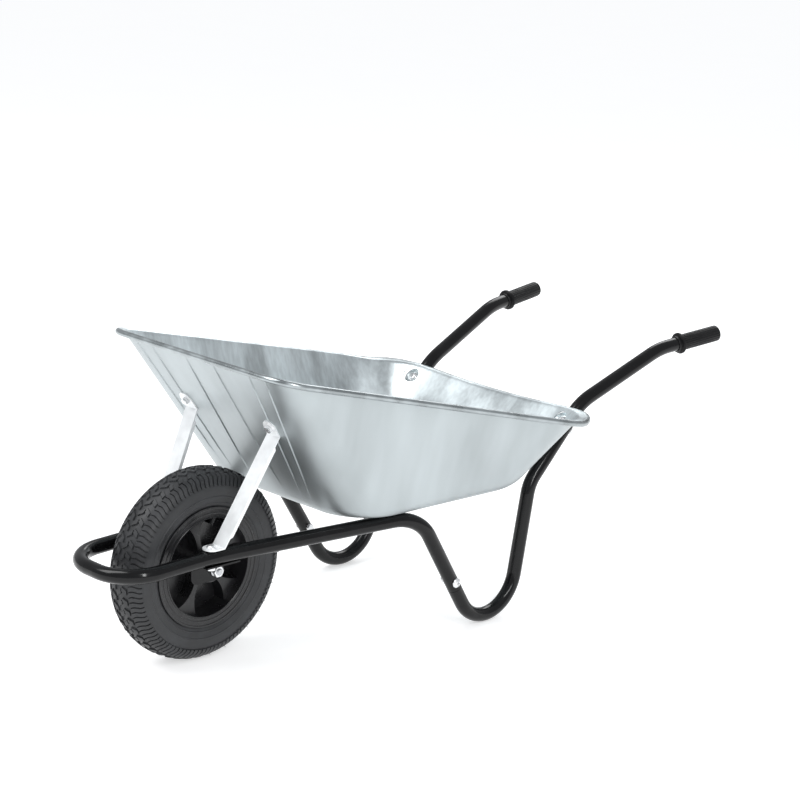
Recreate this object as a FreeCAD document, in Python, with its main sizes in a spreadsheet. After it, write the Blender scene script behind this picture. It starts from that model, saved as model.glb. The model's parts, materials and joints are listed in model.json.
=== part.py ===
"""Builder's wheelbarrow: pressed pan, tubular frame in three tubes, two stays and a pneumatic wheel.

X points forward to the nose loop, Y to the left handle and Z up. The origin is on the ground, under the
middle of the overall box. Drawing sizes are taken from the axle: x and y from its middle, z from the
ground, and every sub-part's Placement carries them to the origin.
"""

import FreeCAD
import Part
import Sketcher
import math
import os

from FreeCAD import Placement, Rotation, Vector

SIZES = [
    ("wheel_radius", 175.0, "tyre tread to axle"),
    ("tyre_ring", 137.0, "radius at the widest part of the tyre"),
    ("tyre_half_width", 40.0, "half the tyre's section"),
    ("bead_radius", 108.0, "tyre bead seat"),
    ("bead_half_width", 33.0, "half the distance between the rim's flanges"),
    ("tyre_wall", 5.0, "tyre carcass thickness"),
    ("inner_tube_wall", 2.0, "inner tube rubber"),
    ("rim_inner_radius", 90.0, "inside of the wheel's rim"),
    ("rim_waist_radius", 97.0, "well of the rim, between the beads"),
    ("rim_flange", 2.6, "height of the rim's flange over the bead seat"),
    ("hub_radius", 27.0, "hub drum"),
    ("hub_half_length", 44.0, "half the length of the hub drum"),
    ("blade_count", 5.0, "blades between hub and rim"),
    ("blade_half_depth", 20.0, "half the blades' depth along the axle"),
    ("web_offset", 6.5, "closed web of the wheel, from its middle towards the right"),
    ("web_plate", 3.5, "its thickness"),
    ("bush_radius", 13.0, "outside of a hub bush"),
    ("bush_length", 24.0, "bush inside the hub"),
    ("bush_flange_radius", 17.0, "bush flange"),
    ("bush_flange", 2.0, "bush flange thickness"),
    ("running_gap", 0.05, "radial gap of the bush on the axle"),
    ("axle_radius", 6.0, "M12 axle"),
    ("axle_overhang", 3.0, "axle end past its nut"),
    ("side_gap", 0.5, "bush flange to spacer"),
    ("spacer_radius", 9.5, "axle spacer"),
    ("bracket_inside", 52.0, "inner face of an axle bracket"),
    ("bracket_plate", 3.0, "axle bracket thickness"),
    ("bracket_front", 54.0, "axle bracket's front edge"),
    ("bracket_rear", 19.0, "axle bracket's rear edge, behind the axle"),
    ("bracket_below", 18.0, "axle bracket below the axle"),
    ("bracket_fold", 5.0, "outer radius of the bracket's fold"),
    ("tube_radius", 13.45, "frame tube, 26.9 mm outside"),
    ("tube_wall", 2.0, "frame tube wall"),
    ("nose_reach", 222.0, "axle to the middle of the nose loop's tube"),
    ("nose_height", 209.0, "middle of the nose loop's tube"),
    ("nose_half_width", 87.0, "nose loop, axle line to the middle of the tube"),
    ("nose_bend", 74.0, "bend radius of the nose loop"),
    ("rail_start", 26.0, "where the rails begin to spread"),
    ("rail_height", 216.0, "middle of the rail there"),
    ("rail_bend", 320.0, "bend radius there"),
    ("elbow_reach", 347.0, "corner of the elbow behind the axle"),
    ("elbow_half_width", 206.0, "elbow corner from the middle"),
    ("elbow_height", 246.5, "elbow corner height"),
    ("elbow_bend", 85.0, "elbow bend radius"),
    ("foot_reach", 539.0, "middle of the foot bend behind the axle"),
    ("foot_half_width", 199.0, "foot from the middle"),
    ("foot_bend", 78.0, "foot bend radius"),
    ("joint_height", 86.0, "lower end of the nose frame's legs"),
    ("joint_gap", 0.6, "shoulder of the leg tube below it"),
    ("knee_reach", 644.0, "corner where a rear leg meets the pan"),
    ("knee_half_width", 200.0, "that corner from the middle"),
    ("knee_height", 250.0, "that corner's height"),
    ("knee_bend", 62.0, "its bend radius"),
    ("shoulder_reach", 773.0, "corner where a handle leaves the pan"),
    ("shoulder_half_width", 203.0, "that corner from the middle"),
    ("shoulder_height", 387.0, "that corner's height"),
    ("shoulder_bend", 130.0, "its bend radius"),
    ("wrist_reach", 971.0, "corner in front of a grip"),
    ("wrist_half_width", 226.5, "that corner from the middle"),
    ("wrist_height", 470.4, "that corner's height"),
    ("wrist_bend", 150.0, "its bend radius"),
    ("grip_reach", 1124.0, "end of a grip behind the axle"),
    ("grip_half_width", 244.2, "grip end from the middle"),
    ("grip_height", 484.4, "grip end height"),
    ("grip_length", 112.0, "grip sleeve"),
    ("grip_wall", 2.0, "grip rubber"),
    ("grip_end_wall", 3.0, "grip closed end"),
    ("grip_collar_radius", 21.0, "grip collar"),
    ("grip_collar", 4.5, "grip collar thickness"),
    ("grip_neck", 9.0, "sleeve in front of the collar"),
    ("spigot_length", 55.0, "swaged end inside the front leg"),
    ("spigot_fit", 0.15, "radial gap of the swaged end"),
    ("shoulder_plate", 5.0, "solid ring where the swage begins"),
    ("joint_bolt_above", 17.0, "leg joint bolt above the tube's end"),
    ("bolt_radius", 4.0, "M8 bolt"),
    ("bolt_gap", 0.3, "radial gap of a bolt in its hole"),
    ("head_radius", 9.0, "domed bolt head"),
    ("head_height", 5.0, "domed bolt head"),
    ("nut_radius", 7.5, "corner radius of an M8 nut"),
    ("nut_height", 6.5, "M8 nut"),
    ("axle_nut_radius", 10.5, "corner radius of the axle's nut"),
    ("axle_nut_height", 9.0, "axle nut"),
    ("washer_radius", 10.0, "M8 washer"),
    ("washer_plate", 1.6, "M8 washer thickness"),
    ("seat_gap", 0.1, "gap between parts that only touch"),
    ("sheet", 1.6, "pan sheet"),
    ("floor_height", 257.0, "underside of the pan's floor"),
    ("floor_front", -186.0, "front edge of the floor, before rounding"),
    ("floor_front_half", 214.0, "its half width"),
    ("floor_rear_half", 229.0, "half width of the floor's rear edge"),
    ("floor_front_corner", 105.0, "front corner radius at the floor"),
    ("floor_rear_corner", 95.0, "rear corner radius at the floor"),
    ("floor_round", 26.0, "run of the curve between floor and walls"),
    ("rim_front", 14.0, "front of the rim bead's middle"),
    ("rim_rear", -755.0, "rear of the rim bead's middle"),
    ("rim_front_half", 240.7, "half width of the rim at its front"),
    ("rim_rear_half", 322.9, "half width of the rim at its rear"),
    ("rim_height", 549.6, "rim bead's middle above the axle"),
    ("rim_slope", 0.2456, "rise of the rim towards the front"),
    ("rim_front_corner", 56.0, "front corner radius of the rim"),
    ("rim_rear_corner", 128.0, "rear corner radius of the rim"),
    ("rim_bead_radius", 5.0, "rolled rim"),
    ("rim_ledge", 8.0, "wall to the bead's middle at front and sides"),
    ("stay_foot_reach", 36.0, "stay foot bolt ahead of the axle"),
    ("stay_sheet", 2.5, "stay thickness"),
    ("stay_half_width", 16.0, "half the stay's width"),
    ("stay_lip", 7.0, "turned edges of a stay"),
    ("stay_tab", 16.0, "bolt to the rounded end of a tab"),
    ("stay_heel", 17.0, "bolt to the bend of a foot tab"),
    ("stay_top_height", 437.5, "stay's top bolt"),
    ("stay_top_half", 113.8, "stay's top bolt from the middle"),
    ("stay_neck", 20.0, "top bolt down to the stay's bend"),
    ("rear_bolt_rise", 135.0, "knee corner to the rear pan bolt, along the tube"),
    ("inner_tube_radius", 25.0, "section of the inner tube"),
    ("seat_radius", 17.0, "pressed seat of a rear pan bolt"),
    ("seat_depth", 4.0, "its height"),
    ("tube_clearance", 0.35, "pan's rim to a handle tube"),
    ("valve_angle", 117.0, "valve from straight ahead"),
    ("valve_radius", 4.0, "valve stem"),
    ("valve_reach", 72.0, "axle to the valve cap's end"),
    ("valve_cap_length", 12.0, "valve cap"),
    ("valve_cap_wall", 1.2, "valve cap"),
]
PLANE_XZ = "XZ_Plane"
PLANE_YZ = "YZ_Plane"
SIDES = (("left", 1), ("right", -1))

doc = FreeCAD.newDocument("wheelbarrow")
sheet = doc.addObject("Spreadsheet::Sheet", "Sizes")
for line, (alias, value, note) in enumerate(SIZES, start=1):
    sheet.set(f"A{line}", alias)
    sheet.set(f"B{line}", str(value))
    sheet.setAlias(f"B{line}", alias)
    sheet.set(f"C{line}", note)
doc.recompute()


class Size:
    """A number together with the spreadsheet formula that gives it."""

    def __init__(self, value, text):
        self.value = value
        self.text = text

    def __add__(self, other):
        other = as_size(other)
        return Size(self.value + other.value, f"({self.text} + {other.text})")

    def __sub__(self, other):
        other = as_size(other)
        return Size(self.value - other.value, f"({self.text} - {other.text})")

    def __mul__(self, other):
        other = as_size(other)
        return Size(self.value * other.value, f"({self.text} * {other.text})")

    def __truediv__(self, other):
        other = as_size(other)
        return Size(self.value / other.value, f"({self.text} / {other.text})")

    def __radd__(self, other):
        return as_size(other) + self

    def __rsub__(self, other):
        return as_size(other) - self

    def __rmul__(self, other):
        return as_size(other) * self

    def __neg__(self):
        return Size(-self.value, f"(-1 * {self.text})")


def as_size(number):
    return number if isinstance(number, Size) else Size(float(number), repr(float(number)))


def cell(alias):
    """The named size, bound to its cell."""
    return Size(float(getattr(sheet, alias)), f"Sizes.{alias}")


def size(alias):
    """The named size as a plain number."""
    return float(getattr(sheet, alias))


def bind(item, name, value):
    item.setExpression(name, as_size(value).text)


NOSE_END = cell("nose_reach") + cell("tube_radius")
AXLE_X = (cell("grip_reach") - NOSE_END) / 2
NODES = {}


def keep(item, label):
    """Names a finished sub-part's object; its file takes the same name."""
    item.Label = label
    NODES[label] = item
    return item


def carry(item, x=0, y=0, z=0):
    """Places an object that is drawn from the axle's middle on the ground."""
    bind(item, ".Placement.Base.x", AXLE_X + x)
    bind(item, ".Placement.Base.y", as_size(y))
    bind(item, ".Placement.Base.z", as_size(z))


def origin_plane(body, role):
    return next(item for item in body.Origin.OriginFeatures if item.Role == role)


def sketch_on(body, role, name):
    sketch = body.newObject("Sketcher::SketchObject", name)
    sketch.AttachmentSupport = [(origin_plane(body, role), "")]
    sketch.MapMode = "FlatFace"
    return sketch


def pin_point(sketch, geometry, end, u, v):
    """Holds a sketch point at two sizes, or on an axis where a size is zero."""
    for kind, axis, value in (("DistanceX", -2, u), ("DistanceY", -1, v)):
        if value.value == 0:
            sketch.addConstraint(Sketcher.Constraint("PointOnObject", geometry, end, axis))
        else:
            row = sketch.addConstraint(Sketcher.Constraint(kind, -1, 1, geometry, end, value.value))
            bind(sketch, f"Constraints[{row}]", value)


def arc_between(start, end, radius):
    """The minor arc from start to end; a positive radius bulges to the left of the way."""
    chord = end - start
    half = chord.Length / 2
    middle = (start + end) / 2
    left = Vector(-chord.y, chord.x, 0).normalize()
    rise = abs(radius) - math.sqrt(radius * radius - half * half)
    return Part.Arc(start, middle + left * math.copysign(rise, radius), end)


def outline(sketch, points, arcs=None):
    """A closed outline through points of two sizes each; arcs gives side number to signed radius."""
    arcs = arcs or {}
    places = [(as_size(u), as_size(v)) for u, v in points]
    count = len(places)
    starts = []
    for side, (u, v) in enumerate(places):
        nu, nv = places[(side + 1) % count]
        start = Vector(u.value, v.value, 0)
        end = Vector(nu.value, nv.value, 0)
        if side in arcs:
            radius = as_size(arcs[side])
            edge = arc_between(start, end, radius.value).toShape()
            centre = edge.Curve.Center
            ring = Part.Circle(centre, Vector(0, 0, 1), edge.Curve.Radius)
            row = sketch.addGeometry(Part.ArcOfCircle(ring, *arc_angles(centre, start, end, edge)), False)
            first = sketch.getPoint(row, 1)
            forward = (first - start).Length < (first - end).Length
            starts.append((row, 1, 2) if forward else (row, 2, 1))
            mark = sketch.addConstraint(Sketcher.Constraint("Radius", row, abs(radius.value)))
            bind(sketch, f"Constraints[{mark}]", radius if radius.value > 0 else -radius)
        else:
            row = sketch.addGeometry(Part.LineSegment(start, end), False)
            starts.append((row, 1, 2))
    for side in range(count):
        row, _, end = starts[side]
        next_row, begin, _ = starts[(side + 1) % count]
        sketch.addConstraint(Sketcher.Constraint("Coincident", row, end, next_row, begin))
    for side, (u, v) in enumerate(places):
        row, begin, _ = starts[side]
        pin_point(sketch, row, begin, u, v)


def arc_angles(centre, start, end, edge):
    """Counter-clockwise angles of the minor arc between two points."""
    first = math.atan2(start.y - centre.y, start.x - centre.x)
    last = math.atan2(end.y - centre.y, end.x - centre.x)
    span = edge.Length / edge.Curve.Radius
    turn = (last - first) % (2 * math.pi)
    return (first, first + span) if abs(turn - span) < 1e-6 else (last, last + span)


def body_named(label):
    return keep(doc.addObject("PartDesign::Body", label), label)


def turned(body, points, arcs=None, role=PLANE_YZ, axis="H_Axis", name="turning"):
    """Revolves an outline given as distance along the axis and radius."""
    sketch = sketch_on(body, role, f"{name}_outline")
    outline(sketch, points, arcs)
    turn = body.newObject("PartDesign::Revolution", name)
    turn.Profile = sketch
    turn.ReferenceAxis = (sketch, [axis])
    turn.Angle = 360
    body.Tip = turn
    return turn


# ---------------------------------------------------------------- frame tubes


def round_path(points, bends):
    """A wire of straight runs and tangent arcs; bends holds the radius at each inner point."""
    edges = []
    start = points[0]
    for corner, before, after, bend in zip(points[1:-1], points[:-2], points[2:], bends):
        back = (before - corner).normalize()
        ahead = (after - corner).normalize()
        half = back.getAngle(ahead) / 2
        reach = bend / math.tan(half)
        enter = corner + back * reach
        leave = corner + ahead * reach
        middle = corner + (back + ahead).normalize() * (bend / math.sin(half) - bend)
        edges.append(Part.LineSegment(start, enter).toShape())
        edges.append(Part.Arc(enter, middle, leave).toShape())
        start = leave
    edges.append(Part.LineSegment(start, points[-1]).toShape())
    return Part.Wire(edges)


def sweep(path, radius):
    first = path.OrderedEdges[0]
    begin = first.valueAt(first.FirstParameter)
    way = first.tangentAt(first.FirstParameter)
    ring = Part.Wire(Part.makeCircle(radius, begin, way))
    return path.makePipeShell([ring], True, False)


def hollow(path, radius, wall):
    return sweep(path, radius).cut(sweep(path, radius - wall))


def rod(start, end, radius):
    return Part.makeCylinder(radius, (end - start).Length, start, end - start)


def frame_points():
    """Corner points of the tubes on the left side, from the axle's middle."""
    spots = {
        "nose": Vector(size("nose_reach"), size("nose_half_width"), size("nose_height")),
        "rail": Vector(size("rail_start"), size("nose_half_width"), size("rail_height")),
        "elbow": Vector(-size("elbow_reach"), size("elbow_half_width"), size("elbow_height")),
        "knee": Vector(-size("knee_reach"), size("knee_half_width"), size("knee_height")),
        "shoulder": Vector(-size("shoulder_reach"), size("shoulder_half_width"), size("shoulder_height")),
        "wrist": Vector(-size("wrist_reach"), size("wrist_half_width"), size("wrist_height")),
        "grip": Vector(-size("grip_reach"), size("grip_half_width"), size("grip_height")),
    }
    spots["foot"] = foot_corner(spots["elbow"], spots["knee"])
    leg = spots["foot"] - spots["elbow"]
    drop = (spots["elbow"].z - size("joint_height")) / (spots["elbow"].z - spots["foot"].z)
    spots["joint"] = spots["elbow"] + leg * drop
    spots["bolt"] = spots["joint"] - leg.normalize() * size("joint_bolt_above")
    return spots


def tangent_point(centre_x, centre_z, radius, spot, side):
    """Where a line from spot touches a circle in the XZ plane; side picks one of the two."""
    dx = spot.x - centre_x
    dz = spot.z - centre_z
    far = math.hypot(dx, dz)
    angle = math.atan2(dz, dx) + side * math.acos(radius / far)
    return centre_x + radius * math.cos(angle), centre_z + radius * math.sin(angle)


def foot_corner(elbow, knee):
    """The corner whose rounding is the foot bend, standing on the ground."""
    centre_x = -size("foot_reach")
    centre_z = size("foot_bend") + size("tube_radius")
    front = tangent_point(centre_x, centre_z, size("foot_bend"), elbow, -1)
    rear = tangent_point(centre_x, centre_z, size("foot_bend"), knee, 1)
    ax, az = front[0] - elbow.x, front[1] - elbow.z
    bx, bz = rear[0] - knee.x, rear[1] - knee.z
    along = ((knee.x - elbow.x) * bz - (knee.z - elbow.z) * bx) / (ax * bz - az * bx)
    return Vector(elbow.x + along * ax, size("foot_half_width"), elbow.z + along * az)


def mirrored(point):
    return Vector(point.x, -point.y, point.z)


def cross_hole(shape, spot, radius, way, length):
    """Cuts a round hole through a shape, centred on spot."""
    return shape.cut(rod(spot - way * length, spot + way * length, radius))


SPOTS = frame_points()
ALONG_Y = Vector(0, 1, 0)
UPWARD = Vector(0, 0, 1)
HOLE_RADIUS = size("bolt_radius") + size("bolt_gap")
TUBE = size("tube_radius")
REAR_RUN = (SPOTS["shoulder"] - SPOTS["knee"]).normalize()
REAR_BOLT = SPOTS["knee"] + REAR_RUN * size("rear_bolt_rise")
REAR_NORMAL = Vector(-REAR_RUN.z, 0, REAR_RUN.x).normalize() * -1
THROUGH = 2 * TUBE


def rail_point(x):
    """Middle of the left rail behind the point where the rails begin to spread, or ahead of it."""
    begin, end = (SPOTS["rail"], SPOTS["elbow"]) if x < SPOTS["rail"].x else (SPOTS["nose"], SPOTS["rail"])
    return begin + (end - begin) * ((x - begin.x) / (end.x - begin.x))


STAY_FOOT = rail_point(size("stay_foot_reach"))
STAY_REST = rail_point(STAY_FOOT.x - size("stay_heel") - size("stay_lip")).z + TUBE + size("seat_gap")


def solid_node(label, shape):
    """A sub-part whose shape is worked out in code from the sheet."""
    item = doc.addObject("Part::Feature", label)
    item.Shape = shape
    carry(item)
    return keep(item, label)


def nose_frame():
    left = [SPOTS["joint"], SPOTS["elbow"], SPOTS["rail"], SPOTS["nose"]]
    corners = left + [mirrored(spot) for spot in reversed(left)]
    bends = [size("elbow_bend"), size("rail_bend"), size("nose_bend")]
    tube = hollow(round_path(corners, bends + bends[::-1]), TUBE, size("tube_wall"))
    for _, side in SIDES:
        bolt = Vector(SPOTS["bolt"].x, side * SPOTS["bolt"].y, SPOTS["bolt"].z)
        foot = Vector(STAY_FOOT.x, side * STAY_FOOT.y, STAY_FOOT.z)
        tube = cross_hole(tube, bolt, HOLE_RADIUS, ALONG_Y, THROUGH)
        tube = cross_hole(tube, foot, HOLE_RADIUS, UPWARD, THROUGH)
    solid_node("nose_frame", tube)


def leg_handle(label, side):
    leg = (SPOTS["foot"] - SPOTS["joint"]).normalize()
    begin = SPOTS["joint"] + leg * size("joint_gap")
    finish = SPOTS["grip"] + (SPOTS["wrist"] - SPOTS["grip"]).normalize() * size("grip_end_wall")
    corners = [begin, SPOTS["foot"], SPOTS["knee"], SPOTS["shoulder"], SPOTS["wrist"], finish]
    bends = [size(name) for name in ("foot_bend", "knee_bend", "shoulder_bend", "wrist_bend")]
    tube = hollow(round_path(corners, bends), TUBE, size("tube_wall"))
    spigot = TUBE - size("tube_wall") - size("spigot_fit")
    bore = spigot - size("tube_wall")
    inside = begin + leg * size("shoulder_plate")
    top = SPOTS["joint"] - leg * size("spigot_length")
    tube = tube.fuse(rod(begin, inside, TUBE).cut(rod(begin, inside, bore)))
    tube = tube.fuse(rod(top, inside, spigot).cut(rod(top, inside, bore)))
    tube = cross_hole(tube, SPOTS["bolt"], HOLE_RADIUS, ALONG_Y, THROUGH)
    tube = cross_hole(tube, REAR_BOLT, HOLE_RADIUS, REAR_NORMAL, THROUGH)
    if side < 0:
        tube = tube.mirror(Vector(0, 0, 0), ALONG_Y)
    solid_node(label, tube.removeSplitter())


# ---------------------------------------------------------------- pan


def rim_z(x):
    return size("rim_height") + size("rim_slope") * x


def corner_wire(corners, radii):
    """A closed wire of four straight sides and four rounded corners, in one plane."""
    edges = []
    ends = []
    for place, corner in enumerate(corners):
        back = (corners[place - 1] - corner).normalize()
        ahead = (corners[(place + 1) % 4] - corner).normalize()
        half = back.getAngle(ahead) / 2
        reach = radii[place] / math.tan(half)
        middle = corner + (back + ahead).normalize() * (radii[place] / math.sin(half) - radii[place])
        ends.append((corner + back * reach, middle, corner + ahead * reach))
    for place, (enter, middle, leave) in enumerate(ends):
        edges.append(Part.Arc(enter, middle, leave).toShape())
        edges.append(Part.LineSegment(leave, ends[(place + 1) % 4][0]).toShape())
    return Part.Wire(edges)


def quad(front_x, front_half, rear_x, rear_half, height):
    """Four corners, front left first, at a height that may depend on x."""
    return [
        Vector(front_x, front_half, height(front_x)),
        Vector(rear_x, rear_half, height(rear_x)),
        Vector(rear_x, -rear_half, height(rear_x)),
        Vector(front_x, -front_half, height(front_x)),
    ]


def rear_wall():
    """A point on the pan's rear wall and its slope in x for each z: it lies along the handle tubes."""
    spot = SPOTS["knee"] + REAR_NORMAL * (TUBE + size("seat_gap"))
    return spot, REAR_RUN.x / REAR_RUN.z


def rim_wall_rear():
    """Where the outside of the rear wall meets the rim's plane."""
    spot, lean = rear_wall()
    return (spot.x + lean * (size("rim_height") - spot.z)) / (1 - lean * size("rim_slope"))


def rim_half(x, inset):
    """Half width of the rim at x, less an inset."""
    front, rear = size("rim_front"), size("rim_rear")
    part = (front - x) / (front - rear)
    return size("rim_front_half") + part * (size("rim_rear_half") - size("rim_front_half")) - inset


CORNER_ENDS = ("front", "rear", "rear", "front")
ROUND_STEPS = 4


def tub(inset):
    """The filled tub, its walls moved in by an inset."""
    spot, lean = rear_wall()
    low = size("floor_height") + inset
    rear_low = spot.x + lean * (low - spot.z) + inset * math.hypot(1, lean)
    front_low = size("floor_front") - inset * 0.5
    floor = quad(
        front_low, size("floor_front_half") - inset, rear_low, size("floor_rear_half") - inset, lambda x: low
    )
    ledge = size("rim_ledge") + inset
    front = size("rim_front") - ledge
    rear = rim_wall_rear() + inset * math.hypot(1, lean)
    rim = quad(front, rim_half(front, ledge), rear, rim_half(rear, ledge), rim_z)
    floor_radii = [size(f"floor_{end}_corner") - inset for end in CORNER_ENDS]
    rim_radii = [size(f"rim_{end}_corner") - inset for end in CORNER_ENDS]
    rings = []
    for step in range(ROUND_STEPS + 1):
        part = step / ROUND_STEPS
        moved_in = (1 - part) ** 2 * size("floor_round")
        rise = part ** 2 * size("floor_round") * 0.8
        rings.append(level_ring(floor, rim, floor_radii, rim_radii, rise, moved_in))
    rim_wire = corner_wire(rim, rim_radii)
    return Part.makeLoft(rings + [rim_wire], True, True), rim_wire


def level_ring(floor, rim, floor_radii, rim_radii, rise, moved_in):
    """The tub's outline at a height over its floor, moved in from the walls."""
    corners = []
    radii = []
    for low, high, low_radius, high_radius in zip(floor, rim, floor_radii, rim_radii):
        part = rise / (high.z - low.z)
        spot = low + (high - low) * part
        inward_x = -moved_in if low.x > floor[1].x else moved_in
        inward_y = -math.copysign(moved_in, low.y)
        corners.append(Vector(spot.x + inward_x, spot.y + inward_y, low.z + rise))
        radii.append(low_radius + (high_radius - low_radius) * part - moved_in)
    return corner_wire(corners, radii)


def rear_seat(base):
    """The round pressed seat under a rear bolt, and the space over it."""
    radius, sheet_depth = size("seat_radius"), size("sheet")
    top = base + REAR_NORMAL * size("seat_depth")
    space = rod(base + REAR_NORMAL * sheet_depth, base + REAR_NORMAL * TUBE, radius - sheet_depth)
    through = rod(base - REAR_NORMAL * 2, top, radius - sheet_depth)
    return rod(base, top, radius).cut(space), space.fuse(through)


def handle_path(side, clearance):
    """The room a handle tube takes where it passes under the rim."""
    corners = [SPOTS[name] for name in ("knee", "shoulder", "wrist")]
    begin = corners[0] + REAR_RUN * (size("rear_bolt_rise") * 0.6)
    path = round_path([begin, corners[1], corners[2]], [size("shoulder_bend")])
    room = sweep(path, TUBE + clearance)
    return room if side > 0 else room.mirror(Vector(0, 0, 0), ALONG_Y)


def pan():
    outer, _ = tub(0)
    inner, inner_rim = tub(size("sheet"))
    bead_line = corner_wire(
        quad(size("rim_front"), size("rim_front_half"), size("rim_rear"), size("rim_rear_half"), rim_z),
        [size(f"rim_{end}_corner") for end in CORNER_ENDS],
    )
    downward = Vector(size("rim_slope"), 0, -1).normalize() * size("sheet")
    ledge = Part.Face(bead_line).extrude(downward).cut(Part.Face(inner_rim).extrude(downward))
    bead = sweep(bead_line, size("rim_bead_radius"))
    shell = outer.cut(inner).fuse([ledge, bead])
    for _, side in SIDES:
        rear = Vector(REAR_BOLT.x, side * REAR_BOLT.y, REAR_BOLT.z)
        base = rear + REAR_NORMAL * (TUBE + size("seat_gap"))
        cup, hollow_cup = rear_seat(base)
        groove = handle_path(side, size("tube_clearance"))
        shell = shell.cut([hollow_cup, groove]).fuse(cup)
        shell = cross_hole(shell, rear, HOLE_RADIUS, REAR_NORMAL, THROUGH)
        top = Vector(STAY_TOP.x, side * STAY_TOP.y, STAY_TOP.z)
        shell = cross_hole(shell, top, HOLE_RADIUS, FRONT_NORMAL, THROUGH)
    solid_node("pan", shell.removeSplitter())


def front_wall():
    """Low and high points of the outside of the pan's front wall in the middle plane."""
    front = size("rim_front") - size("rim_ledge")
    low = Vector(size("floor_front"), 0, size("floor_height"))
    return low, Vector(front, 0, rim_z(front))


LOW_FRONT, HIGH_FRONT = front_wall()
FRONT_RUN = (HIGH_FRONT - LOW_FRONT).normalize()
FRONT_NORMAL = Vector(FRONT_RUN.z, 0, -FRONT_RUN.x)
STAY_TOP = LOW_FRONT + FRONT_RUN * ((size("stay_top_height") - LOW_FRONT.z) / FRONT_RUN.z)
STAY_TOP.y = size("stay_top_half")


# ---------------------------------------------------------------- stays


def strip_face(points, thickness):
    """The outline of a folded strip: the points and their parallel at the thickness."""
    far = []
    for place, point in enumerate(points):
        ways = []
        if place:
            ways.append((point - points[place - 1]).normalize())
        if place < len(points) - 1:
            ways.append((points[place + 1] - point).normalize())
        normals = [Vector(way.z, 0, -way.x) for way in ways]
        total = normals[0] if len(normals) == 1 else normals[0] + normals[1]
        unit = Vector(total).normalize()
        far.append(point + unit * (thickness / unit.dot(normals[0])))
    return Part.Face(Part.makePolygon(points + far[::-1] + [points[0]]))


def front_stay(label, side):
    """A folded strip from the top of a rail to the front wall, leaning outwards as it rises."""
    foot = Vector(STAY_FOOT.x, 0, STAY_REST)
    top = Vector(STAY_TOP.x, 0, STAY_TOP.z) + FRONT_NORMAL * size("seat_gap")
    heel = foot + Vector(-size("stay_heel"), 0, 0)
    neck = top - FRONT_RUN * size("stay_neck")
    points = [foot + Vector(size("stay_tab"), 0, 0), heel, neck, top + FRONT_RUN * size("stay_tab")]
    half = size("stay_half_width")
    sheet_way = Vector(0, -half, 0)
    points = [point + sheet_way for point in points]
    strip = strip_face(points, size("stay_sheet")).extrude(Vector(0, 2 * half, 0))
    run = (neck - heel).normalize()
    out = Vector(run.z, 0, -run.x)
    low, high = heel + run * size("stay_heel"), neck - run * size("stay_heel")
    lip_depth = size("stay_lip")
    lip = Part.Face(Part.makePolygon([low, high, high - run * lip_depth - out * lip_depth,
                                      low + run * lip_depth - out * lip_depth, low]))
    for edge in (-half, half - size("stay_sheet")):
        turned_edge = lip.extrude(Vector(0, size("stay_sheet"), 0))
        turned_edge.translate(Vector(0, edge, 0) + out * size("stay_sheet"))
        strip = strip.fuse(turned_edge)
    strip = strip.removeSplitter()
    rounding = [edge for edge in strip.Edges if is_tab_corner(edge, points, half)]
    strip = strip.makeFillet(half - 0.5, rounding)
    lean = (STAY_TOP.y - STAY_FOOT.y) / (STAY_TOP.z - foot.z)
    shear = FreeCAD.Matrix(1, 0, 0, 0, 0, 1, lean, STAY_FOOT.y - lean * foot.z, 0, 0, 1, 0, 0, 0, 0, 1)
    strip = strip.transformGeometry(shear)
    strip = cross_hole(strip, STAY_FOOT + UPWARD * TUBE, HOLE_RADIUS, UPWARD, 2 * size("stay_lip"))
    strip = cross_hole(strip, STAY_TOP, HOLE_RADIUS, FRONT_NORMAL, 2 * size("stay_lip"))
    if side < 0:
        strip = strip.mirror(Vector(0, 0, 0), ALONG_Y)
    solid_node(label, strip)


def is_tab_corner(edge, points, half):
    """True for the short edges through the sheet at the ends of the two tabs."""
    if abs(edge.Length - size("stay_sheet")) > 0.01:
        return False
    middle = edge.CenterOfMass
    at_side = abs(abs(middle.y) - half) < 0.01
    near = min((middle - Vector(end.x, middle.y, end.z)).Length for end in (points[0], points[-1]))
    return at_side and near < size("stay_sheet")


# ---------------------------------------------------------------- fasteners


def aim(item, spot, way):
    """Turns an object's Z to a direction and puts it at a spot taken from the axle."""
    item.Placement = Placement(Vector(0, 0, 0), Rotation(UPWARD, way))
    carry(item, spot.x, spot.y, spot.z)


def group(label, items):
    """One node for several like solids."""
    bundle = doc.addObject("Part::Compound", label)
    bundle.Links = items
    return keep(bundle, label)


def sides_of(spot, way):
    """The same place and direction on the left and on the right."""
    return [
        (Vector(spot.x, side * spot.y, spot.z), Vector(way.x, side * way.y, way.z)) for _, side in SIDES
    ]


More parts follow.
